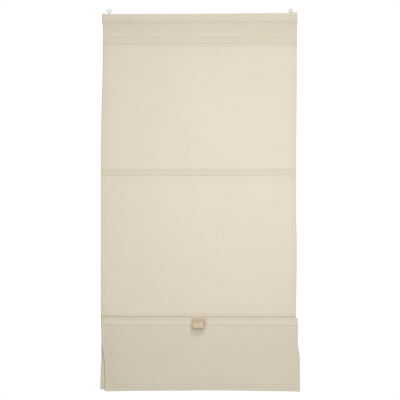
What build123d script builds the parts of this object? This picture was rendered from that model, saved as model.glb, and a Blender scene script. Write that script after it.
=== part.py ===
from build123d import *
from math import cos, pi, radians, sin
import os

# Roman blind, 600 mm wide and about 1600 mm long, raised by one fold and held there by a clip.
# Origin: centre of the left screw eye's ring. +X to the right, +Y towards the wall, +Z up.

# ---------------------------------------------------------------- driving sizes, mm
# cloth, finished
cloth_width = 600.0
cloth_thickness = 1.0
side_hem = 15.0            # turned to the back and sewn down, both long edges
first_pocket = 488.0       # top edge of the blind to the middle of the first batten pocket
pocket_pitch = 453.0       # one batten pocket to the next, along the cloth
hem_drop = 209.0           # last batten pocket to the bottom edge, along the cloth
facing_upper_seam = 73.0   # top edge to the two rows of stitches that close the rail pocket
facing_lower_seam = 92.0
bottom_hem = 22.0          # height of cloth turned up at the bottom edge
bottom_row = 9.0           # lower row of stitches, above the bottom edge
seam_allowance = 2.0       # cloth beyond a row of stitches

# wooden rail
rail_height = 25.0
rail_thickness = 12.0
rail_rounding = 4.0
rail_end_gap = 2.0         # rail's end to the cloth's edge

# screw eyes
eye_inset = 21.0           # ring centre from the cloth's edge
eye_height = 9.0           # ring centre above the cloth's top edge
eye_outer = 12.5           # ring's outer diameter
eye_wire = 2.2
eye_land = 0.1             # depth of the flat that bending leaves inside the ring
eye_gap_angle = 14.0       # opening where the wire's end meets the neck
eye_shank = 16.0           # length in the wood
right_eye_turn = 22.0      # the right eye is screwed in this many degrees past square

# battens and their tapes
batten_width = 12.0
batten_thickness = 3.0
batten_end_gap = 3.0       # batten's end to the tape's end
tape_thickness = 0.8
tape_end_gap = 1.0         # tape's end to the side hem
pocket_height = 18.0       # between a tape's two rows of stitches
batten_rest = 1.0          # batten's lower edge above the row of stitches that it lies on
bar_height = 7.0
bar_thickness = 2.0
bar_end_gap = 8.0          # bar's end to the cloth's edge

# fold
fold_drop = 5.0            # the raised pocket hangs this far below the one it is clipped to
crest_rise = 15.0          # top of the fold above the raised pocket's middle
loop_gap = 5.0             # between the middles of the back and the rising layer
crest_shift = 5.0          # top of the fold lies this far to the right of the back layer
hem_shift = 12.0           # and the bottom edge this far

# clip
clip_width = 43.0
clip_wall = 2.0
clip_offset = -2.5         # clip's middle from the cloth's middle
clip_back_leg = 26.0
scoop_radius = 20.0        # hollow of the finger scoop
scoop_drop = 8.0           # hollow's middle below the middle of the clip's bridge
scoop_corner = 8.0
scoop_sweep = 68.0         # degrees of arc from the clip's front wall to the scoop's lip
scoop_bulge = 4.0          # how far the scoop's end walls stand forward of a straight line
lip_radius = 1.5

# clearances
rail_clearance = 0.3       # cloth round the rail
batten_clearance = 0.25    # cloth and tape round a batten
neck_clearance = 0.2       # cloth round a screw eye's neck
clip_clearance = 0.3       # clip to what it grips
slot_clearance = 1.5       # slot in the cloth, round the clip's bridge
layer_clearance = 0.4      # raised pocket to the layer behind it

# ---------------------------------------------------------------- places that follow
half_cloth = cloth_thickness / 2
top_z = -eye_height
rail_top_z = top_z - cloth_thickness - rail_clearance
eye_spacing = cloth_width - 2 * eye_inset
left_x = -eye_inset
right_x = left_x + cloth_width
middle_x = (left_x + right_x) / 2

batten_z = [top_z - first_pocket, top_z - first_pocket - pocket_pitch]
raised_z = batten_z[1] - fold_drop
batten_depth = batten_thickness + 2 * batten_clearance
crest_gap = cloth_thickness + batten_depth + tape_thickness + layer_clearance
rising_y = -loop_gap
front_y = rising_y - crest_gap
crest_top_z = raised_z + crest_rise
crest_z = crest_top_z - half_cloth - crest_gap / 2
bottom_z = raised_z - hem_drop

# the loop hangs as low as the cloth between the two clipped pockets lets it
turns = pi * (loop_gap + crest_gap) / 2
loop_z = (batten_z[1] + 2 * crest_z - raised_z + turns - pocket_pitch) / 2

# a batten lies at the bottom of its pocket, and the clip's bridge presses what is above it down
batten_top = batten_rest + batten_width - pocket_height / 2
pressed_top = batten_z[1] + batten_top + batten_clearance + tape_thickness
bridge_z = pressed_top + clip_clearance
clip_x = middle_x + clip_offset
slot_width = clip_width + 2 * slot_clearance

tape_length = cloth_width - 2 * (side_hem + tape_end_gap)
batten_length = tape_length - 2 * batten_end_gap


def slab(points, x0, x1):
    """Prism along X between x0 and x1 on an outline of (y, z) points."""
    outline = Plane.YZ.offset(x0) * make_face(Polyline(*points, close=True))
    return extrude(outline, amount=x1 - x0, dir=(1, 0, 0))


def ribbon(line, width, x0, x1):
    """Strip of even thickness along X between x0 and x1, on a (y, z) centre line."""
    section = Plane.YZ.offset(x0) * trace(line, line_width=width)
    return extrude(section, amount=x1 - x0, dir=(1, 0, 0))


def plate(x0, x1, y0, y1, z0, z1):
    """Box between two corners."""
    return Pos((x0 + x1) / 2, (y0 + y1) / 2, (z0 + z1) / 2) * Box(x1 - x0, y1 - y0, z1 - z0)


def hem_spans(shift):
    """Where the two side hems lie in X on a layer with this shift."""
    x0 = left_x + shift
    x1 = right_x + shift
    return [(x0, x0 + side_hem), (x1 - side_hem, x1)]


def side_hems(y0, z0, z1, shift):
    """Second layer of cloth behind both long edges of a flat stretch."""
    return [plate(a, b, y0, y0 + cloth_thickness, z0, z1) for a, b in hem_spans(shift)]


def half_ring(x0, x1, y, z, inner, side):
    """Half turn of a layer of cloth about an X line, above it for a side of 1, below it for -1."""
    outer = inner + cloth_thickness
    ring = Rot(0, 90, 0) * (Cylinder(outer, x1 - x0) - Cylinder(inner, x1 - x0))
    ring = Pos((x0 + x1) / 2, y, z) * ring
    return ring & plate(x0, x1, y - outer, y + outer, min(z, z + side * outer), max(z, z + side * outer))


# ---------------------------------------------------------------- cloth
def rail_pocket():
    """Cloth over the rail, with the facing behind brought in and sewn flat to the panel."""
    inner = rail_thickness / 2 + rail_clearance
    outer = inner + cloth_thickness
    facing_back = half_cloth + cloth_thickness
    under_rail = rail_top_z - rail_height - rail_clearance
    seam_z = top_z - facing_upper_seam
    facing_end = top_z - facing_lower_seam - seam_allowance
    outside = [
        (-outer, top_z),
        (outer, top_z),
        (outer, under_rail),
        (facing_back, seam_z),
        (facing_back, facing_end),
        (-half_cloth, facing_end),
        (-half_cloth, seam_z),
        (-outer, under_rail),
    ]
    room = [
        (-inner, top_z - cloth_thickness),
        (inner, top_z - cloth_thickness),
        (inner, under_rail),
        (half_cloth, seam_z),
        (-inner, under_rail),
    ]
    return slab(outside, left_x, right_x) - slab(room, left_x, right_x)


def back_panel():
    """The panel down to the loop, and the loop's half turn, with the hems on the outside of it."""
    inner = loop_gap / 2 - half_cloth
    outer = loop_gap / 2 + half_cloth
    y = rising_y / 2
    pieces = [plate(left_x, right_x, -half_cloth, half_cloth, loop_z, top_z - facing_upper_seam)]
    pieces += side_hems(half_cloth, loop_z, top_z - facing_lower_seam, 0)
    pieces += [half_ring(left_x, right_x, y, loop_z, inner, -1)]
    pieces += [half_ring(a, b, y, loop_z, outer, -1) for a, b in hem_spans(0)]
    return pieces


def leaning(x0, x1, y0, low, high):
    """Layer with its front face at y0, between two (height, shift) pairs that it drifts between."""
    low_z, low_shift = low
    high_z, high_shift = high
    corners = [
        (x0 + low_shift, low_z),
        (x1 + low_shift, low_z),
        (x1 + high_shift, high_z),
        (x0 + high_shift, high_z),
    ]
    outline = Plane.XZ.offset(-y0) * make_face(Polyline(*corners, close=True))
    return extrude(outline, amount=cloth_thickness, dir=(0, 1, 0))


def rising_layer():
    """Cloth from the loop up to the raised pocket, its hems towards the front."""
    face_y = rising_y - half_cloth
    ends = ((loop_z, 0), (raised_z, crest_shift))
    hems = [leaning(a, b, face_y - cloth_thickness, *ends) for a, b in hem_spans(0)]
    return [leaning(left_x, right_x, face_y, *ends)] + hems


def free_crest(x0, x1):
    """Round half turn over to the front layer."""
    y = (rising_y + front_y) / 2
    legs = [
        plate(x0, x1, leg - half_cloth, leg + half_cloth, raised_z, crest_z)
        for leg in (front_y, rising_y)
    ]
    return [half_ring(x0, x1, y, crest_z, crest_gap / 2 - half_cloth, 1)] + legs


def pressed_crest(x0, x1):
    """The same turn where the clip holds it down flat."""
    roof = pressed_top - half_cloth
    line = FilletPolyline(
        (front_y, raised_z), (front_y, roof), (rising_y, roof), (rising_y, raised_z), radius=cloth_thickness
    )
    return [ribbon(line, cloth_thickness, x0, x1)]


def crest_hems():
    """The side hems where they go over the fold, on its inside."""
    y = (rising_y + front_y) / 2
    inner = crest_gap / 2 - half_cloth - cloth_thickness
    pieces = side_hems(front_y + half_cloth, raised_z, crest_z, crest_shift)
    pieces += side_hems(rising_y - half_cloth - cloth_thickness, raised_z, crest_z, crest_shift)
    return pieces + [half_ring(a, b, y, crest_z, inner, 1) for a, b in hem_spans(crest_shift)]


def front_layer():
    """Cloth in front of the fold, with the bottom hem turned up behind it round the bar."""
    x0 = left_x + hem_shift
    x1 = right_x + hem_shift
    back = front_y + half_cloth
    bar_room = bar_thickness + 2 * batten_clearance
    channel_top = bottom_z + cloth_thickness + bar_height + 2 * batten_clearance
    row_z = bottom_z + bottom_row + cloth_thickness
    ends = ((bottom_z, hem_shift), (raised_z, crest_shift))
    sheet = leaning(left_x, right_x, front_y - half_cloth, *ends)
    side_ends = ((bottom_z + bottom_hem - cloth_thickness, hem_shift), (raised_z, crest_shift))
    hems = [leaning(a, b, back, *side_ends) for a, b in hem_spans(0)]
    channel_back = back + bar_room + cloth_thickness
    floor = plate(x0, x1, front_y - half_cloth, channel_back, bottom_z, bottom_z + cloth_thickness)
    channel = slab(
        [
            (back + bar_room, bottom_z + cloth_thickness),
            (channel_back, bottom_z + cloth_thickness),
            (channel_back, channel_top),
            (back + cloth_thickness, row_z + cloth_thickness),
            (back + cloth_thickness, bottom_z + bottom_hem),
            (back, bottom_z + bottom_hem),
            (back, row_z),
            (back + bar_room, channel_top),
        ],
        x0,
        x1,
    )
    return [sheet, floor, channel] + hems


def make_cloth():
    """The one sewn sheet, folded and hanging as it does when clipped up."""
    x0 = left_x + crest_shift
    x1 = right_x + crest_shift
    press_x0 = clip_x - clip_width / 2 - clip_clearance
    press_x1 = clip_x + clip_width / 2 + clip_clearance
    pieces = back_panel() + rising_layer()
    pieces += free_crest(x0, press_x0) + pressed_crest(press_x0, press_x1) + free_crest(press_x1, x1)
    pieces += crest_hems() + front_layer()
    cloth = rail_pocket().fuse(*pieces).clean()

    # necks of the screw eyes come up through the top edge
    for x in (0, eye_spacing):
        cloth -= Pos(x, 0, top_z) * Cylinder(eye_wire / 2 + neck_clearance, 4 * cloth_thickness)

    # buttonhole that the clip's bridge passes through, just above the second pocket
    slot_z = bridge_z - slot_clearance
    cloth -= plate(
        clip_x - slot_width / 2,
        clip_x + slot_width / 2,
        rising_y + cloth_thickness,
        2 * cloth_thickness,
        slot_z,
        slot_z + clip_wall + 2 * slot_clearance,
    )
    return cloth


# ---------------------------------------------------------------- rail, battens, bar and tapes
def make_rail():
    """Planed softwood rail, drilled for the two screw eyes."""
    rail_length = cloth_width - 2 * rail_end_gap
    rail = Box(rail_length, rail_thickness, rail_height)
    rail = fillet(rail.edges().filter_by(Axis.X), rail_rounding)
    rail = Pos(middle_x, 0, rail_top_z - rail_height / 2) * rail
    for x in (0, eye_spacing):
        rail -= Pos(x, 0, rail_top_z) * screw_hole()
    return rail


def screw_hole():
    """What the screw eye's shank fills below the top of the wood."""
    hole = Pos(0, 0, -eye_shank / 2) * Cylinder(eye_wire / 2, eye_shank)
    tip = Rot(180, 0, 0) * Cone(eye_wire / 2, eye_wire / 10, eye_wire)
    return hole + Pos(0, 0, -eye_shank - eye_wire / 2) * tip


def make_batten(y_face, z, shift):
    """Flat batten behind a cloth face at y_face, low in the pocket whose middle is at z."""
    x = middle_x + shift
    y = y_face + batten_clearance + batten_thickness / 2
    batten = Box(batten_length, batten_thickness, batten_width)
    batten = fillet(batten.edges().filter_by(Axis.Y), batten_thickness / 2)
    return Pos(x, y, z + batten_top - batten_width / 2) * batten


def make_tape(y_face, z, shift, pressed_at):
    """Tape sewn behind the cloth along both edges, standing out round its batten."""
    edge = pocket_height / 2 + seam_allowance
    seam = pocket_height / 2
    upper = batten_top + batten_clearance
    lower = batten_top - batten_width - batten_clearance
    raised = batten_depth
    t = tape_thickness
    outline = [
        (y_face, z + edge),
        (y_face + t, z + edge),
        (y_face + t, z + seam),
        (y_face + raised + t, z + upper),
        (y_face + raised + t, z + lower),
        (y_face + t, z - seam),
        (y_face + t, z - edge),
        (y_face, z - edge),
        (y_face, z - seam + t / 2),
        (y_face + raised, z + lower),
        (y_face + raised, z + upper),
        (y_face, z + seam - t),
    ]
    x0 = middle_x + shift - tape_length / 2
    tape = slab(outline, x0, x0 + tape_length)
    if pressed_at is not None:
        # under the clip the tape's upper edge is pressed down on to the batten
        reach = clip_width / 2 + 2 * clip_clearance
        back = y_face + 2 * raised
        tape -= plate(clip_x - reach, clip_x + reach, y_face - t, back, pressed_at, z + 2 * edge)
    return tape


def make_bar():
    """Flat weight bar in the bottom hem."""
    y = front_y + half_cloth + batten_clearance + bar_thickness / 2
    z = bottom_z + cloth_thickness + batten_clearance + bar_height / 2
    bar = Box(cloth_width - 2 * bar_end_gap, bar_thickness, bar_height)
    bar = fillet(bar.edges().filter_by(Axis.Y), bar_thickness / 2)
    return Pos(middle_x + hem_shift, y, z) * bar


# ---------------------------------------------------------------- screw eyes
def make_screw_eye():
    """Wire bent to an open ring on a straight shank, ring centre at the origin, facing Y."""
    ring_radius = (eye_outer - eye_wire) / 2
    wire = Pos(ring_radius, 0) * Circle(eye_wire / 2)
    ring = revolve(wire, axis=Axis.Y, revolution_arc=360 - eye_gap_angle)
    ring = Rot(0, 90, 0) * ring
    ring -= Rot(90, 0, 0) * Cylinder(ring_radius - eye_wire / 2 + eye_land, 2 * eye_wire)
    neck_length = eye_height + cloth_thickness + rail_clearance - ring_radius
    neck = Pos(0, 0, -ring_radius - neck_length / 2) * Cylinder(eye_wire / 2, neck_length)
    shank = Pos(0, 0, rail_top_z) * screw_hole()
    return ring + neck + shank


# ---------------------------------------------------------------- clip
def drum(radius, length, corner):
    """Cylinder along X with rounded ends."""
    body = Rot(0, 90, 0) * Cylinder(radius, length)
    return fillet(body.edges().filter_by(GeomType.CIRCLE), corner)


def make_clip():
    """Moulded spring clip over both pockets, with a finger scoop on its front leg."""
    tape_back_y = half_cloth + batten_depth + tape_thickness
    back_y = tape_back_y + clip_clearance + clip_wall / 2
    wall_y = front_y - half_cloth - clip_clearance - clip_wall / 2
    bridge_mid = bridge_z + clip_wall / 2
    scoop_z = bridge_mid - scoop_drop
    scoop_y = wall_y + clip_wall / 2 - scoop_radius - clip_wall
    line = FilletPolyline(
        (back_y + clip_wall, bridge_mid - clip_back_leg - clip_wall),
        (back_y, bridge_mid - clip_back_leg + clip_wall),
        (back_y, bridge_mid),
        (wall_y, bridge_mid),
        (wall_y, scoop_z),
        radius=clip_wall,
    )
    strip = ribbon(line, clip_wall, clip_x - clip_width / 2, clip_x + clip_width / 2)

    # scoop: a dish with rounded ends, cut off along its lip and along its bowed end walls
    dish = drum(scoop_radius + clip_wall, clip_width, scoop_corner + clip_wall)
    dish -= drum(scoop_radius, clip_width - 2 * clip_wall, scoop_corner)
    dish = Pos(clip_x, scoop_y, scoop_z) * dish
    sweep = radians(scoop_sweep)
    far = 2 * scoop_radius
    start = (scoop_y + scoop_radius, scoop_z)
    lip = (scoop_y + scoop_radius * cos(sweep), scoop_z - scoop_radius * sin(sweep))
    past = (scoop_y + far * cos(sweep), scoop_z - far * sin(sweep))
    middle = (
        (start[0] + lip[0]) / 2 - scoop_bulge * cos(sweep / 2),
        (start[1] + lip[1]) / 2 + scoop_bulge * sin(sweep / 2),
    )
    rim = ThreePointArc(lip, middle, start)
    back = Polyline(start, (start[0] + far, start[1]), (start[0] + far, past[1]), past, lip)
    keep = Plane.YZ.offset(clip_x - clip_width) * make_face([rim.edge(), *back.edges()])
    dish &= extrude(keep, amount=2 * clip_width, dir=(1, 0, 0))
    lip_mid = scoop_radius + clip_wall / 2
    bead = Rot(0, 90, 0) * Cylinder(lip_radius, clip_width - 2 * scoop_corner)
    bead = Pos(clip_x, scoop_y + lip_mid * cos(sweep), scoop_z - lip_mid * sin(sweep)) * bead
    return strip + dish + bead


# ---------------------------------------------------------------- build
back_face = half_cloth
front_back_face = front_y + half_cloth
under_roof = pressed_top - cloth_thickness - half_cloth

nodes = {
    "cloth": make_cloth(),
    "top_rail": make_rail(),
    "bottom_bar": make_bar(),
    "fold_clip": make_clip(),
}

# each pocket: the cloth face its tape is sewn to, its height, its shift, and where it is pressed
pockets = {
    "middle": (back_face, batten_z[0], 0, None),
    "lower": (back_face, batten_z[1], 0, pressed_top),
    "raised": (front_back_face, raised_z, crest_shift, under_roof),
}
for name, (face, z, shift, pressed_at) in pockets.items():
    nodes[f"batten_{name}"] = make_batten(face, z, shift)
    nodes[f"tape_{name}"] = make_tape(face, z, shift, pressed_at)

for side, x, turn in (("left", 0, 0), ("right", eye_spacing, right_eye_turn)):
    nodes[f"screw_eye_{side}"] = Pos(x, 0, 0) * Rot(0, 0, turn) * make_screw_eye()

os.makedirs("parts", exist_ok=True)
for name, shape in nodes.items():
    export_step(shape, f"parts/{name}.step")
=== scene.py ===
from math import cos, pi, radians, sin, tau

import bmesh
import bpy
import numpy as np
from mathutils import Matrix, Vector, noise


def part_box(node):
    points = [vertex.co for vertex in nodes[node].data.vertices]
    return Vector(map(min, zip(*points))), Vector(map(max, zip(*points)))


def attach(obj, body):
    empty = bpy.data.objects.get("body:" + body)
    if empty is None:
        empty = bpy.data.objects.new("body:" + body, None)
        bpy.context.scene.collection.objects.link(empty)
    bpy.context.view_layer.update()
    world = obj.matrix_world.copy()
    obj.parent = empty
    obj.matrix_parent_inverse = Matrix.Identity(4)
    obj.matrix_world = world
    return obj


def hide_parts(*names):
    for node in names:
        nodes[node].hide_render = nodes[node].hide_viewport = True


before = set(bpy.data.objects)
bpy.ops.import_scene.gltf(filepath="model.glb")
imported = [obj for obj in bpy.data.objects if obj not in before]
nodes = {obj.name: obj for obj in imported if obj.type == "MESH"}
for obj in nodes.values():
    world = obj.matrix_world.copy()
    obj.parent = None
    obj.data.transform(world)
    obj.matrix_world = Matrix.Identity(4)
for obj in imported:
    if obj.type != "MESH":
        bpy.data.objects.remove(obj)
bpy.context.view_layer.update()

# ---------------------------------------------------------------- top rail
# Planed pine strip with rounded edges that carries the whole blind. It slides into the pocket at
# the top of the cloth and stops just short of it, so only its two sawn ends can be seen.
rail_low, rail_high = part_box("top_rail")
pine_pale = (0.68, 0.47, 0.26, 1)
pine_dark = (0.44, 0.26, 0.11, 1)
pine_ring_pitch = 0.0035


def new_material(name, roughness, specular=0.5):
    """Material with its principled shader, and short ways to add and join nodes."""
    material = bpy.data.materials.new(name)
    material.use_nodes = True
    tree = material.node_tree
    shader = tree.nodes["Principled BSDF"]
    shader.inputs["Roughness"].default_value = roughness
    shader.inputs["Specular IOR Level"].default_value = specular

    def add(kind, settings=(), **inputs):
        node = tree.nodes.new(kind)
        for key, value in dict(settings).items():
            setattr(node, key, value)
        for key, value in inputs.items():
            numbered = key[0] == "i" and key[1:].isdigit()
            socket = node.inputs[int(key[1:]) if numbered else key.replace("_", " ")]
            if isinstance(value, bpy.types.NodeSocket):
                tree.links.new(value, socket)
            else:
                socket.default_value = value
        return node

    return material, shader, add, tree.links.new


def ramp(add, fac, stops):
    """Colour ramp through (position, colour) stops."""
    node = add("ShaderNodeValToRGB", Fac=fac)
    elements = node.color_ramp.elements
    while len(elements) < len(stops):
        elements.new(0.5)
    for element, (position, colour) in zip(elements, stops):
        element.position = position
        element.color = colour
    return node.outputs["Color"]


def wood(name, middle, ring_pitch, pale, dark, roughness):
    """Sawn softwood: year rings about a heart line well below the strip, fine pores along X."""
    material, shader, add, link = new_material(name, roughness, specular=0.35)
    place = add("ShaderNodeTexCoord").outputs["Object"]
    heart = (-middle.x, -middle.y + 0.03, -middle.z + 0.06)
    along_grain = add("ShaderNodeMapping", Vector=place, Location=heart, Scale=(0.05, 1, 1))
    grain_place = along_grain.outputs[0]
    wander = add("ShaderNodeTexNoise", Vector=grain_place, Scale=35, Detail=2).outputs["Fac"]
    rings = add(
        "ShaderNodeTexWave",
        dict(wave_type="RINGS", rings_direction="X", wave_profile="SAW"),
        Vector=grain_place,
        Scale=1 / ring_pitch / pi,
        Distortion=1.5,
        Detail=1.0,
    ).outputs["Fac"]
    half_dark = tuple(0.5 * (a + b) for a, b in zip(pale, dark))
    ring_colour = ramp(add, rings, [(0.0, pale), (0.72, half_dark), (1.0, dark)])
    cloudy = ramp(add, wander, [(0.3, (0.8, 0.76, 0.7, 1)), (0.7, (1, 1, 1, 1))])
    multiply = dict(blend_type="MULTIPLY")
    tint = add("ShaderNodeMixRGB", multiply, Fac=0.35, Color1=ring_colour, Color2=cloudy)
    link(tint.outputs[0], shader.inputs["Base Color"])
    pores_place = add("ShaderNodeMapping", Vector=place, Scale=(40, 1800, 1800)).outputs[0]
    pores = add("ShaderNodeTexNoise", Vector=pores_place, Scale=1, Detail=3).outputs["Fac"]
    bump = add("ShaderNodeBump", Strength=0.35, Distance=0.0002, Height=pores).outputs["Normal"]
    link(bump, shader.inputs["Normal"])
    return material


def dress(node, material):
    """Gives a carried-over piece its finish."""
    obj = nodes[node]
    obj.data.materials.clear()
    obj.data.materials.append(material)


rail_middle = (rail_low + rail_high) / 2
pine = wood("planed_pine", rail_middle, pine_ring_pitch, pine_pale, pine_dark, roughness=0.55)
dress("top_rail", pine)

# ---------------------------------------------------------------- screw eyes
# Two nickel-plated wire eyes, bent cold and screwed down through the cloth into the rail. The
# plating is bright on the ring and a little dulled where fingers have turned it.
nickel = (0.58, 0.55, 0.50, 1)
nickel_dulled = (0.50, 0.47, 0.42, 1)

eye_metal, shader, add, link = new_material("nickel_plate", roughness=0.24)
shader.inputs["Metallic"].default_value = 1.0
place = add("ShaderNodeTexCoord").outputs["Object"]
smear = add("ShaderNodeTexNoise", Vector=place, Scale=420, Detail=3).outputs["Fac"]
link(ramp(add, smear, [(0.35, nickel_dulled), (0.6, nickel)]), shader.inputs["Base Color"])
rubbed = add("ShaderNodeMapRange", Value=smear, To_Min=0.18, To_Max=0.38).outputs[0]
link(rubbed, shader.inputs["Roughness"])
for node in ("screw_eye_left", "screw_eye_right"):
    dress(node, eye_metal)

# ---------------------------------------------------------------- cloth
# One length of plain-woven cotton and linen in natural cream, hemmed down both long edges, turned
# over the rail and sewn off below it, then folded up once so that the bottom hangs as a flap.
cloth_low, cloth_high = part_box("cloth")
clip_low, clip_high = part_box("fold_clip")
raised_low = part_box("batten_raised")[0]
bar_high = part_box("bottom_bar")[1]

thickness = 0.0008
side_hem = 0.015                # turned to the back down both long edges
width = 0.600
cut_width = width + 2 * side_hem
left_x = cloth_low.x
top_z = cloth_high.z
rail_gap = 0.0008               # middle of the cloth to the rail's face
seam_upper = top_z - 0.073      # two rows of stitches close the rail's pocket
seam_lower = top_z - 0.092
facing_end = top_z - 0.094
hem_height = 0.0198             # cloth turned up at the bottom, with two rows of stitches
hem_upper_row = hem_height - 0.002
hem_lower_row = 0.0090
pocket = 0.018                  # between a batten pocket's two rows of stitches
half_tape = 0.011
front_y = raised_low.y - 0.00075
rising_y = -0.005               # layer that rises from the loop to the crest
bottom_z = cloth_low.z + 0.0004
loop_z = bottom_z + 0.0022      # lowest line of the loop
crest_z = cloth_low.z + 0.2216  # top of the fold
middle_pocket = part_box("tape_middle")[0].z + half_tape
lower_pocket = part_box("tape_lower")[0].z + half_tape
raised_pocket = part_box("tape_raised")[0].z + half_tape


def rounded(corners):
    """(y, z) points 0.4 mm apart on a line through (y, z, radius) corners, and how far along."""
    arc_steps, spacing = 12, 0.0004
    points = [Vector(corners[0][:2])]
    for before, corner, after in zip(corners, corners[1:], corners[2:]):
        here = Vector(corner[:2])
        back = (Vector(before[:2]) - here).normalized()
        on = (Vector(after[:2]) - here).normalized()
        half = back.angle(on) / 2
        reach = corner[2] / max(abs(np.tan(half)), 1e-6)
        start, end = here + back * reach, here + on * reach
        centre = here + (back + on).normalized() * corner[2] / sin(half)
        points.append(start)
        for step in range(1, arc_steps):
            spoke = (start.lerp(end, step / arc_steps) - centre).normalized()
            points.append(centre + spoke * corner[2])
        points.append(end)
    points.append(Vector(corners[-1][:2]))
    points = np.array([tuple(p) for p in points])
    steps = np.linalg.norm(np.diff(points, axis=0), axis=1)
    run = np.concatenate([[0], np.cumsum(steps)])
    even = np.linspace(0, run[-1], int(run[-1] / spacing))
    return np.column_stack([np.interp(even, run, values) for values in points.T]), even


# the line that the cloth follows from the facing's edge, over the rail, down to the loop, up to
# the crest, down to the bottom edge and up behind it round the bar
seam_y = -0.0029
front_rail_y = rail_low.y - rail_gap
back_rail_y = rail_high.y + rail_gap
under_rail = rail_low.z + 0.003
hem_back_y = bar_high.y + 0.0008
channel_top = bar_high.z + 0.0008
cloth_line, cloth_run = rounded([
    (seam_y + 0.0010, facing_end, 0),
    (seam_y + 0.0010, seam_upper, 0.020),
    (back_rail_y - 0.0015, under_rail - 0.012, 0.020),
    (back_rail_y, under_rail, 0.006),
    (back_rail_y, top_z - 0.0004, 0.0044),
    (front_rail_y, top_z - 0.0004, 0.0044),
    (front_rail_y, rail_low.z + 0.0046, 0.014),
    (front_rail_y + 0.0022, rail_low.z - 0.0040, 0.022),
    (seam_y + 0.0009, rail_low.z - 0.0270, 0.070),
    (seam_y, seam_upper, 0.030),
    (seam_y + 0.0001, seam_lower - 0.001, 0.010),
    (-0.0012, seam_lower - 0.0105, 0.030),
    (-0.0001, seam_lower - 0.038, 0.080),
    (0.0, seam_lower - 0.080, 0.150),
    (0.0, loop_z - 0.0022, 0.00245),
    (rising_y, loop_z - 0.0022, 0.00245),
    (rising_y, crest_z, 0.0027),
    (front_y, crest_z, 0.0027),
    (front_y, bottom_z, 0.0008),
    (hem_back_y, bottom_z, 0.0008),
    (hem_back_y, channel_top, 0.0010),
    (front_y + 0.0010, bottom_z + 0.0105, 0.0010),
    (front_y + 0.0010, bottom_z + hem_height, 0),
])
cloth_tangent = np.gradient(cloth_line, cloth_run, axis=0)
cloth_tangent /= np.linalg.norm(cloth_tangent, axis=1)[:, None]
length = cloth_run[-1]
over_rail = cloth_run[np.argmax(cloth_line[:, 1])]
at_loop = cloth_run[np.argmin(np.where(cloth_line[:, 0] > rising_y / 2, cloth_line[:, 1], 9))]
at_crest = cloth_run[np.argmax(np.where(cloth_run > at_loop, cloth_line[:, 1], -9))]
at_bottom = cloth_run[np.argmin(np.where(cloth_run > at_crest, cloth_line[:, 1], 9))]


def run_at(z, start, end):
    """How far along the cloth a height lies, between two places on it."""
    inside = (cloth_run >= start) & (cloth_run <= end)
    return cloth_run[inside][np.argmin(abs(cloth_line[inside, 1] - z))]


# rows of stitches, each as how far along the cloth it lies
panel_rows = [
    run_at(z, over_rail + 0.01, at_loop)
    for z in (
        seam_upper,
        seam_lower,
        middle_pocket + pocket / 2,
        middle_pocket - pocket / 2,
        lower_pocket + pocket / 2,
        lower_pocket - pocket / 2,
    )
]
flap_rows = [
    run_at(z, at_crest, at_bottom)
    for z in (
        raised_pocket + pocket / 2,
        raised_pocket - pocket / 2,
        bottom_z + hem_upper_row,
        bottom_z + hem_lower_row,
    )
]
stitch_rows = panel_rows + flap_rows
raised_upper, raised_lower, _, hem_lower = flap_rows
rail_edge = run_at(rail_low.z, over_rail, at_loop)
rail_back = run_at(rail_low.z, 0, over_rail)
crest_on_panel = run_at(crest_z, over_rail, at_loop)


def spread(extent, lines, fine, coarse):
    """Places along an extent, close together near the lines and further apart between them."""
    places = [0.0]
    while places[-1] < extent:
        gap = min(abs(places[-1] - line) for line in lines)
        places.append(places[-1] + min(coarse, max(fine, (gap - 0.003) * 0.35)))
    return np.array(places) * extent / places[-1]


bends = [over_rail - 0.008, over_rail, over_rail + 0.008, rail_edge, rail_edge + 0.006]
bends += [at_loop, at_loop + 0.006, at_crest, at_bottom, length]
rows = spread(length, stitch_rows + bends, fine=0.0011, coarse=0.0095)
clip_edges = [clip_low.x - left_x + side_hem, clip_high.x - left_x + side_hem]
hem_edges = [0, side_hem, side_hem + 0.0015, 2 * side_hem]
hem_edges += [cut_width - 2 * side_hem, cut_width - side_hem, cut_width]
columns = spread(cut_width, hem_edges + clip_edges, fine=0.0020, coarse=0.0140)


def bell(x, middle, spread_by):
    """1 at the middle, falling away smoothly on both sides."""
    return np.exp(-(((x - middle) / spread_by) ** 2))


def step_up(x, start, end):
    """0 before start, 1 after end, smooth between."""
    t = np.clip((x - start) / (end - start), 0, 1)
    return t * t * (3 - 2 * t)


def window(x, rise, fall):
    """Smoothly up to 1 over the rise and down again over the fall, each a (start, end) pair."""
    return step_up(x, *rise) * (1 - step_up(x, *fall))


def ripple(x, z, seed, size):
    """Soft uneven swell between about -1 and 1, the same on each run."""
    places = zip(x / size, z / size * 0.6)
    return np.array([noise.noise((a, b, seed)) for a, b in places]) * 1.6


def on_flap(along):
    """0 up to the crest, 1 on the flap below it."""
    return step_up(along, at_crest + 0.004, at_crest + 0.03)


def down_flap(along):
    """Share of the way down the flap: 0 at the crest, 1 at the bottom edge and behind it."""
    return np.clip((along - at_crest) / (at_bottom - at_crest), 0, 1)


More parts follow.
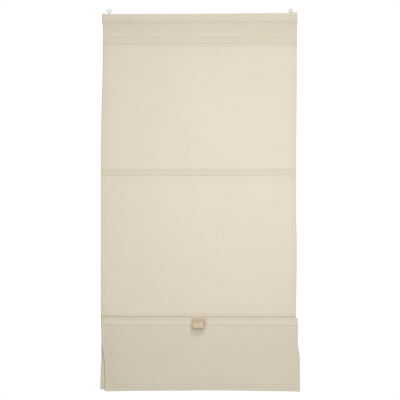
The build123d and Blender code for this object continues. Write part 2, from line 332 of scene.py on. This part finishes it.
def sideways(along, depth, share):
    """How far the cloth strays along X, at a share of the width from its left edge.

    The panel drifts left on its way down, the flap leans right, and the band below the rail is
    drawn in by the rows of stitches that close the pocket."""
    after_loop = step_up(along, at_loop, at_crest)
    flap = on_flap(along)
    drop = down_flap(along)

    # in turn: the whole panel, its lower right edge, the cloth near the loop, the top right corner
    drift = -0.0044 * step_up(depth, 0.03, 0.50) + 0.0022 * share * step_up(depth, 0.58, 0.72)
    drift -= 0.0026 * step_up(depth, 1.04, 1.15) * (1 - after_loop)
    drift -= 0.0028 * share * step_up(depth, 0.74, 0.96) * (1 - after_loop)
    drift += 0.0013 * (1 - share) * step_up(depth, 0.93, 1.00) * (1 - flap)
    drift -= 0.0010 * share**2 * (1 - step_up(depth, 0.012, 0.030))

    # the flap's left edge leans in below its middle, and its right edge steps out
    lean = 0.0021 * after_loop + 0.0005 * flap
    lean += 0.0095 * (1 - share) * step_up(drop, 0.28, 0.68) + 0.0010 * share * drop
    lean += 0.0054 * step_up(depth, 1.010, 1.055) * step_up(share, 0.97, 1) * flap

    drawn_in = (0.0024 - 0.0006 * share) * window(depth, (0.024, 0.042), (0.10, 0.35))
    facing_in = 0.0009 * (1 - step_up(along, over_rail - 0.012, over_rail))
    toward_middle = (1 - 2 * share) * (depth < 0.4)
    return drift + lean + (drawn_in + facing_in) * toward_middle


def upward(along, depth, share):
    """How far the cloth lies above its line: its lower corners hang down, its top edge bows."""
    near_edge = (2 * share - 1) ** 2
    tilt = share - 0.5
    droop = 0.0004 + 0.0036 * near_edge + 0.0006 * tilt
    droop += 0.0008 * (1 - step_up(share, 0.42, 0.52)) - 0.0011 * bell(share, 0.93, 0.07)
    loop_droop = 0.004 * tilt * bell(along, at_loop, 0.09)
    loop_droop += 0.0016 * bell(along, at_loop, 0.02) * (near_edge - 0.5)
    bow = 0.0014 * step_up(share, 0.45, 0.95) + 0.0026 * step_up(share, 0.93, 1.0)
    bow += 0.0014 * step_up(share, 0.04, 0)
    at_top = 1 - step_up(depth, 0.0, 0.012)
    return bow * at_top - droop * down_flap(along) - loop_droop


def backward(x, z, along, depth, share, inside, held):
    """How far the cloth is pushed to its wrong side by swells, seams, pockets and doubled hems."""
    panel = window(along, (over_rail + 0.02, over_rail + 0.06), (at_loop - 0.02, at_loop))
    flap = on_flap(along)
    swell = ripple(x, z, 3.1, 0.16) * 0.0012 + ripple(x, z, 8.7, 0.045) * 0.00030
    flap_swell = swell * 0.8 + ripple(x, z, 5.2, 0.09) * 0.0005
    off_hem = 1 - step_up(along, at_bottom - 0.030, at_bottom - 0.006)
    level = panel * swell + flap * flap_swell * off_hem

    # the flap's left edge curls back, and rows of stitches draw the cloth in
    curl = step_up(share, 0.07, 0) * step_up(depth, 0.96, 1.02)
    level += 0.0024 * curl * flap * (1 - step_up(along, at_bottom - 0.03, at_bottom))
    for row in stitch_rows:
        level += 0.00042 * bell(along, row, 0.0011)

    # each batten holds the cloth out above its pocket's lower row and lets it fall back below
    raised_rise = (raised_upper - 0.004, raised_lower + 0.002)
    level -= 0.0022 * window(along, raised_rise, (raised_lower + 0.01, hem_lower)) * (1 - held)
    for upper, lower in (panel_rows[2:4], panel_rows[4:6]):
        fall = 2 * step_up(along, upper - 0.012, lower + 0.028) - 1
        level += 0.0011 * panel * fall * bell(along, lower, 0.16)

    # slanting gathers in the ends of the rail pocket
    near_end = bell(np.minimum(share, 1 - share), 0.0, 0.10)
    gather = ripple(x + z * 0.9, z * 0.2, 1.3, 0.012) * near_end * bell(depth, 0.055, 0.030)
    level += 0.00045 * gather * panel

    # the side hems of a turned-over layer lie clear of the side hems in front of them
    over_hem = 1 - step_up(np.minimum(inside, width - inside), side_hem + 0.001, side_hem + 0.005)
    turned_over = 1 - step_up(along, rail_back - 0.020, rail_back)
    turned_over += step_up(along, at_bottom + 0.009, at_bottom + 0.013)
    return level - 0.0020 * over_hem * turned_over


def cloth_place(across, along, proud=0.0):
    """Where the cloth lies at a distance across its cut width and along its length.

    proud lifts a point off the right side, which faces the room on the panel and the flap."""
    y = np.interp(along, cloth_run, cloth_line[:, 0])
    z = np.interp(along, cloth_run, cloth_line[:, 1])
    tangent_y = np.interp(along, cloth_run, cloth_tangent[:, 0])
    tangent_z = np.interp(along, cloth_run, cloth_tangent[:, 1])
    size = np.hypot(tangent_y, tangent_z)
    wrong_y, wrong_z = -tangent_z / size, tangent_y / size

    # the side hems turn over a small round edge and lie against the wrong side
    fold_radius, hem_behind = 0.0004, 0.0010
    from_left = across - side_hem
    from_right = cut_width - side_hem - across
    inside = np.clip(from_left, 0, width)
    turned = np.maximum(-from_left, 0) + np.maximum(-from_right, 0)
    behind = hem_behind * step_up(turned, 0, 4 * fold_radius)
    inward = np.maximum(turned - 2 * fold_radius, 0) * np.where(from_left < 0, 1, -1)
    x = left_x + fold_radius + inside * (1 - 2 * fold_radius / width) + inward

    share = (x - left_x) / width
    depth = top_z - z
    x = x + sideways(along, depth, share)
    z = z + upward(along, depth, share)

    # near the clip the crest is held flat and pressed down under the clip's bridge
    beside, under, press = 0.016, 0.004, 0.0052
    clip_left = (clip_low.x - beside, clip_low.x + under)
    clip_right = (clip_high.x - under, clip_high.x + beside)
    held = window(x, clip_left, clip_right)
    held = held * (1 - step_up(along, raised_lower - 0.004, raised_lower + 0.040))
    off_line = behind + backward(x, z, along, depth, share, inside, held) - proud
    y = y + wrong_y * off_line
    z = z + wrong_z * off_line
    pressed = press * held * step_up(z, raised_pocket + 0.004, crest_z)
    return x, y, np.where(along > at_loop + 0.05, z - pressed, z)


def cloth_grid(name, cols, lines, place_at):
    """Mesh of columns and rows laid by place_at, with its flat place as a UV map in metres."""
    mesh = bmesh.new()
    layer = mesh.loops.layers.uv.new("cloth")
    bmesh.ops.create_grid(mesh, x_segments=len(cols) - 1, y_segments=len(lines) - 1, size=0.5)
    even_cols, even_lines = np.linspace(0, 1, len(cols)), np.linspace(0, 1, len(lines))
    across = np.interp([v.co.x + 0.5 for v in mesh.verts], even_cols, cols)
    along = np.interp([v.co.y + 0.5 for v in mesh.verts], even_lines, lines)
    for face in mesh.faces:
        face.smooth = True
        for corner in face.loops:
            corner[layer].uv = (across[corner.vert.index], along[corner.vert.index])
    for vert, x, y, z in zip(mesh.verts, *place_at(across, along)):
        vert.co = (x, y, z)
    data = bpy.data.meshes.new(name)
    mesh.to_mesh(data)
    mesh.free()
    obj = bpy.data.objects.new(name, data)
    bpy.context.collection.objects.link(obj)
    return obj, across, along


def shade(obj, name, values):
    """Stores one value a point, for the finish to read."""
    layer = obj.data.attributes.new(name, "FLOAT", "POINT")
    layer.data.foreach_set("value", np.asarray(values, dtype=np.float32))


cloth, across, along = cloth_grid("hanging_cloth", columns, rows, cloth_place)

# where a second layer lies behind, less daylight comes through; this is painted shade that darkens
# the cloth's colour there
doubled = 1 - step_up(along, panel_rows[1] + 0.001, panel_rows[1] + 0.004)
doubled = np.maximum(doubled, step_up(along, at_loop - 0.21, at_loop - 0.205))
for upper, lower in (panel_rows[2:4], panel_rows[4:6]):
    over_tape = window(along, (upper - 0.001, upper + 0.001), (lower - 0.001, lower + 0.001))
    doubled = np.maximum(doubled, 0.70 * over_tape)
from_edge = np.minimum(across - side_hem, cut_width - side_hem - across)
over_side_hem = 1 - step_up(from_edge, side_hem - 0.001, side_hem + 0.001)
doubled = np.maximum(doubled, 0.42 * over_side_hem)
shade(cloth, "doubled", doubled)

# painted shade: the rows of stitches, the fold's crease and the panel just above the crest are
# darkened in the colour where a little shadow gathers
drawn = sum(bell(along, row, 0.0013) for row in stitch_rows)
drawn += 0.8 * sum(bell(along, row, 0.0018) for row in panel_rows[2:] + flap_rows[:2])
drawn += 0.9 * bell(along, at_crest, 0.0024) + 0.7 * bell(along, crest_on_panel, 0.0035)
shade(cloth, "drawn", np.clip(drawn, 0, 2))

cream = (0.783, 0.697, 0.573, 1)
# painted shade: cream darkened for where a second layer lies behind and less daylight comes
# through
cream_painted_shade = (0.722, 0.657, 0.528, 1)
thread_pitch = 0.00062
seam_shadow = 0.87              # darkest that the painted shade at a seam or crease makes the cloth


def woven(name, pale, painted_shade_colour, pitch, strength):
    """Plain weave: two crossed sets of threads, with slubs where a thread runs thick."""
    material, shader, add, link = new_material(name, roughness=0.92, specular=0.12)
    shader.inputs["Sheen Weight"].default_value = 0.12
    shader.inputs["Sheen Roughness"].default_value = 0.45
    flat = add("ShaderNodeUVMap", dict(uv_map="cloth")).outputs["UV"]
    waves = []
    for direction in ("X", "Y"):
        wave = add(
            "ShaderNodeTexWave",
            dict(bands_direction=direction),
            Vector=flat,
            Scale=tau / pitch / 20,
            Distortion=0.6,
            Detail=1.0,
            Detail_Scale=2.0,
        )
        waves.append(wave.outputs["Fac"])
    weave = add("ShaderNodeMath", dict(operation="MAXIMUM"), i0=waves[0], i1=waves[1]).outputs[0]
    slubs = []
    for scale in ((26, 1500, 1), (1300, 22, 1)):
        stretched = add("ShaderNodeMapping", Vector=flat, Scale=scale).outputs[0]
        slubs.append(add("ShaderNodeTexNoise", Vector=stretched, Scale=1, Detail=2).outputs["Fac"])
    slub = add("ShaderNodeMath", dict(operation="ADD"), i0=slubs[0], i1=slubs[1]).outputs[0]
    cloud = add("ShaderNodeTexNoise", Vector=flat, Scale=11, Detail=3).outputs["Fac"]

    # painted shade: the colour darkens towards the shaded cream where a second layer lies behind
    backlight_shade = add("ShaderNodeAttribute", dict(attribute_name="doubled")).outputs["Fac"]
    colour = add("ShaderNodeMixRGB", Fac=backlight_shade, Color1=pale, Color2=painted_shade_colour).outputs[0]

    def vary(colour, source, **limits):
        by = add("ShaderNodeMapRange", Value=source, **limits).outputs[0]
        scaled = add("ShaderNodeVectorMath", dict(operation="SCALE"), i0=colour, Scale=by)
        return scaled.outputs[0]

    colour = vary(colour, slub, From_Min=0.6, From_Max=1.4, To_Min=0.965, To_Max=1.03)
    colour = vary(colour, cloud, From_Min=0.3, From_Max=0.7, To_Min=0.99, To_Max=1.01)
    colour = vary(colour, weave, From_Min=0.3, From_Max=0.7, To_Min=0.96, To_Max=1.01)
    # painted shade at seams and creases, read from the cloth's points
    seam_shade = add("ShaderNodeAttribute", dict(attribute_name="drawn")).outputs["Fac"]
    colour = vary(colour, seam_shade, From_Max=2.0, To_Min=1.0, To_Max=seam_shadow)
    link(colour, shader.inputs["Base Color"])

    multiply_add = dict(operation="MULTIPLY_ADD")
    height = add("ShaderNodeMath", multiply_add, i0=slub, i1=0.6, i2=weave).outputs[0]
    bump = add("ShaderNodeBump", Strength=strength, Distance=0.00012, Height=height)
    link(bump.outputs["Normal"], shader.inputs["Normal"])
    return material


cloth.data.materials.append(woven("cream_weave", cream, cream_painted_shade, thread_pitch, strength=0.5))
gauge = cloth.modifiers.new("cloth_gauge", "SOLIDIFY")
gauge.thickness = thickness
gauge.offset = 0.0
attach(cloth, "root")
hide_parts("cloth")

# ---------------------------------------------------------------- batten tapes
# Three woven tapes sewn along both edges to the wrong side of the cloth. Each makes a flat pocket
# that a batten slides into, so it stands out round the batten and dips to its seams.
tape_white = (0.80, 0.75, 0.64, 1)
tape_thread_pitch = 0.0008
tape_gauge = 0.0006
tape_seam = 0.0018              # row of stitches from the tape's edge
tape_column_count, tape_row_count = 96, 34
cloth_back = 0.0005             # back face of a layer of cloth behind its middle

tape_cloth = woven("tape_weave", tape_white, tape_white, tape_thread_pitch, strength=0.6)


def tape_line(near, tape_low, tape_high, batten_low, batten_high):
    """Line of a tape's cross-section over its batten, from its upper edge to its lower edge."""
    far = batten_high.y + 0.0003 + tape_gauge / 2
    return rounded([
        (near, tape_high.z, 0),
        (near, tape_high.z - 0.0022, 0.0015),
        (far, batten_high.z + 0.0004, 0.0015),
        (far, batten_low.z - 0.0003, 0.0004),
        (near, tape_low.z + 0.0026, 0.0006),
        (near, tape_low.z, 0),
    ])


for place, cloth_y in (("middle", 0.0), ("lower", 0.0), ("raised", front_y)):
    low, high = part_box(f"tape_{place}")
    strip_low, strip_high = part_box(f"batten_{place}")
    high = Vector((high.x, high.y, low.z + 2 * half_tape))
    near = cloth_y + cloth_back + tape_gauge / 2
    line, run = tape_line(near, low, high, strip_low, strip_high)
    tape_width, tape_length = run[-1], high.x - low.x
    tape_columns = np.linspace(0, tape_length, tape_column_count)
    tape_rows = np.linspace(0, tape_width, tape_row_count)

    def tape_place(across, along, line=line, run=run, low=low, upper_z=high.z):
        """Where a tape lies: flat along its seams, and a little puckered between them."""
        y = np.interp(along, run, line[:, 0])
        z = np.interp(along, run, line[:, 1])
        pucker = ripple(across + 3 * upper_z, z, 2.4, 0.011) * 0.00018
        pucker += ripple(across, z, 6.1, 0.07) * 0.00020
        free = np.sin(pi * np.clip(along / run[-1], 0, 1))
        return low.x + across, y + np.abs(pucker) * free, z + pucker * 0.4

    name = f"sewn_tape_{place}"
    tape, tape_across, tape_along = cloth_grid(name, tape_columns, tape_rows, tape_place)
    # painted shade along the tape's two rows of stitches
    upper_seam = bell(tape_along, tape_seam, 0.0008)
    lower_seam = bell(tape_along, tape_width - tape_seam, 0.0008)
    shade(tape, "doubled", np.zeros(len(tape_across)))
    shade(tape, "drawn", upper_seam + lower_seam)
    tape.data.materials.append(tape_cloth)
    layers = tape.modifiers.new("tape_gauge", "SOLIDIFY")
    layers.thickness = tape_gauge
    layers.offset = 0.0
    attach(tape, "root")
    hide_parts(f"tape_{place}")

# ---------------------------------------------------------------- battens and weight bar
# Three flat wood strips keep the cloth level at each pocket. A bright drawn-steel bar in the
# bottom hem pulls the flap straight.
strip_pale = (0.72, 0.53, 0.31, 1)
strip_dark = (0.50, 0.32, 0.15, 1)
strip_ring_pitch = 0.0022
steel_dark = (0.42, 0.42, 0.42, 1)
steel_pale = (0.58, 0.58, 0.57, 1)

for place in ("middle", "lower", "raised"):
    low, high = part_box(f"batten_{place}")
    middle = (low + high) / 2
    name = f"strip_wood_{place}"
    strip = wood(name, middle, strip_ring_pitch, strip_pale, strip_dark, roughness=0.6)
    dress(f"batten_{place}", strip)

bar_steel, shader, add, link = new_material("drawn_steel", roughness=0.35)
shader.inputs["Metallic"].default_value = 1.0
place = add("ShaderNodeTexCoord").outputs["Object"]
streaks_place = add("ShaderNodeMapping", Vector=place, Scale=(6, 900, 900)).outputs[0]
streaks = add("ShaderNodeTexNoise", Vector=streaks_place, Scale=1, Detail=3).outputs["Fac"]
link(ramp(add, streaks, [(0.3, steel_dark), (0.7, steel_pale)]), shader.inputs["Base Color"])
dress("bottom_bar", bar_steel)

# ---------------------------------------------------------------- stitching
# Lockstitch in cream thread along every seam. Each stitch is a short round-ended length of thread
# that sinks a little into the cloth at both ends.
stitch_pitch = 0.0030
stitch_length = 0.0024
thread_radius = 0.00022
thread_proud = 0.35             # share of its radius that a thread's middle stands off the cloth
on_top = thickness / 2 + thread_radius * thread_proud
thread_dark = (0.66, 0.58, 0.46, 1)
thread_pale = (0.80, 0.72, 0.60, 1)

sewing, shader, add, link = new_material("cream_thread", roughness=0.7, specular=0.3)
place = add("ShaderNodeTexCoord").outputs["Object"]
twist = add("ShaderNodeTexNoise", Vector=place, Scale=2500, Detail=2).outputs["Fac"]
link(ramp(add, twist, [(0.3, thread_dark), (0.7, thread_pale)]), shader.inputs["Base Color"])


def stitches(name, starts, ends):
    """One piece of many stitches, each between a start and an end point."""
    mesh = bmesh.new()
    for start, end in zip(starts, ends):
        start, end = Vector(start), Vector(end)
        axis = end - start
        turn = axis.to_track_quat("Z", "Y").to_matrix().to_4x4()
        size = Matrix.Diagonal((thread_radius, thread_radius, axis.length / 2, 1))
        place = Matrix.Translation((start + end) / 2) @ turn @ size
        made = bmesh.ops.create_icosphere(mesh, subdivisions=1, radius=1)["verts"]
        bmesh.ops.transform(mesh, matrix=place, verts=made)
    for face in mesh.faces:
        face.smooth = True
    data = bpy.data.meshes.new(name)
    mesh.to_mesh(data)
    mesh.free()
    obj = bpy.data.objects.new(name, data)
    bpy.context.collection.objects.link(obj)
    obj.data.materials.append(sewing)
    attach(obj, "root")
    return obj


def laid(across, along, step_across, step_along):
    """Starts and ends of stitches that lie on the cloth's right side, one step apart."""
    starts = np.column_stack(cloth_place(across, along, on_top))
    ends = np.column_stack(cloth_place(across + step_across, along + step_along, on_top))
    return starts, ends


seams = []
for row in stitch_rows:
    spots = np.arange(side_hem + 0.004, cut_width - side_hem - 0.006, stitch_pitch)
    seams.append(laid(spots, np.full_like(spots, row), stitch_length, 0))
stitches("cross_stitching", *map(np.vstack, zip(*seams)))

seams = []
for edge in (2 * side_hem - 0.002, cut_width - 2 * side_hem + 0.002):
    panel_seam = (panel_rows[1], at_loop - 0.008)
    flap_seam = (at_crest + 0.008, at_bottom - hem_height)
    for start, end in (panel_seam, flap_seam):
        spots = np.arange(start, end, stitch_pitch)
        seams.append(laid(np.full_like(spots, edge), spots, 0, stitch_length))
stitches("side_stitching", *map(np.vstack, zip(*seams)))

# ---------------------------------------------------------------- fold clip
# Sprung C of tan moulded plastic. Its back leg and bridge go through a slot in the cloth, and its
# front leg curves out to a dished finger scoop. The mould leaves a fine satin grain.
tan_face = (0.590, 0.484, 0.349, 1)
tan_shade = (0.537, 0.430, 0.303, 1)

clip_plastic, shader, add, link = new_material("tan_moulding", roughness=0.42)
place = add("ShaderNodeTexCoord").outputs["Object"]
cloudy = add("ShaderNodeTexNoise", Vector=place, Scale=60, Detail=3).outputs["Fac"]
link(ramp(add, cloudy, [(0.3, tan_shade), (0.7, tan_face)]), shader.inputs["Base Color"])
grain = add("ShaderNodeTexNoise", Vector=place, Scale=5200, Detail=2).outputs["Fac"]
satin = add("ShaderNodeBump", Strength=0.12, Distance=0.0001, Height=grain)
link(satin.outputs["Normal"], shader.inputs["Normal"])
handled = add("ShaderNodeMapRange", Value=cloudy, To_Min=0.36, To_Max=0.5)
link(handled.outputs[0], shader.inputs["Roughness"])
dress("fold_clip", clip_plastic)

# ---------------------------------------------------------------- room, light and camera
# Pale floor well below the blind in a white room. A large soft lamp high on the right lights it, a
# weak one close in front evens it out, and a broad one behind lights its back.
floor_z = -1.62
floor_half = 1.45
blind_x = 0.279
room_glow = 0.30
view_distance = 3.0
view_width = 1.23               # what the camera takes in at the blind
camera_turn = radians(0.92)
mesh = bmesh.new()
bmesh.ops.create_grid(mesh, x_segments=1, y_segments=1, size=floor_half)
bmesh.ops.translate(mesh, verts=mesh.verts, vec=(blind_x, 0.0, floor_z))
data = bpy.data.meshes.new("floor")
mesh.to_mesh(data)
mesh.free()
floor = bpy.data.objects.new("floor", data)
bpy.context.collection.objects.link(floor)
floor_paint, shader, add, link = new_material("pale_floor", roughness=0.8)
shader.inputs["Base Color"].default_value = (0.82, 0.82, 0.81, 1)
floor.data.materials.append(floor_paint)

world = bpy.data.worlds.new("white_room")
bpy.context.scene.world = world
world.use_nodes = True
air = world.node_tree
background = air.nodes["Background"]
background.inputs["Color"].default_value = (1.0, 1.0, 1.0, 1)
background.inputs["Strength"].default_value = room_glow
seen = air.nodes.new("ShaderNodeBackground")
seen.inputs["Color"].default_value = (1.0, 1.0, 1.0, 1)
seen.inputs["Strength"].default_value = 1.0
mix = air.nodes.new("ShaderNodeMixShader")
path = air.nodes.new("ShaderNodeLightPath")
air.links.new(path.outputs["Is Camera Ray"], mix.inputs[0])
air.links.new(background.outputs[0], mix.inputs[1])
air.links.new(seen.outputs[0], mix.inputs[2])
air.links.new(mix.outputs[0], air.nodes["World Output"].inputs["Surface"])


def soft_light(name, place, aim, size, power):
    """Square lamp with a soft edge, turned to aim."""
    lamp = bpy.data.lights.new(name, "AREA")
    lamp.shape = "SQUARE"
    lamp.size = size
    lamp.energy = power
    obj = bpy.data.objects.new(name, lamp)
    obj.location = place
    obj.rotation_euler = (Vector(aim) - Vector(place)).to_track_quat("-Z", "Y").to_euler()
    bpy.context.collection.objects.link(obj)


soft_light("front_softbox", (0.430, -1.112, -0.479), (0.408, 0, -0.479), size=0.9, power=7.0)
soft_light("high_softbox", (1.2, -1.9, 3.0), (0.35, 0, -0.5), size=1.3, power=79)
soft_light("back_fill", (0.1, 2.3, 0.2), (blind_x, 0, -0.6), size=1.6, power=42)

camera_data = bpy.data.cameras.new("camera")
camera = bpy.data.objects.new("camera", camera_data)
bpy.context.collection.objects.link(camera)
bpy.context.scene.camera = camera
aim = Vector((0.2798, 0, -0.5812))
camera.location = aim + Vector((sin(camera_turn), -cos(camera_turn), 0)) * view_distance
camera.rotation_euler = (pi / 2, 0, camera_turn)
camera_data.sensor_width = 36
camera_data.lens = camera_data.sensor_width * view_distance / view_width
bpy.context.scene.view_settings.view_transform = "Standard"
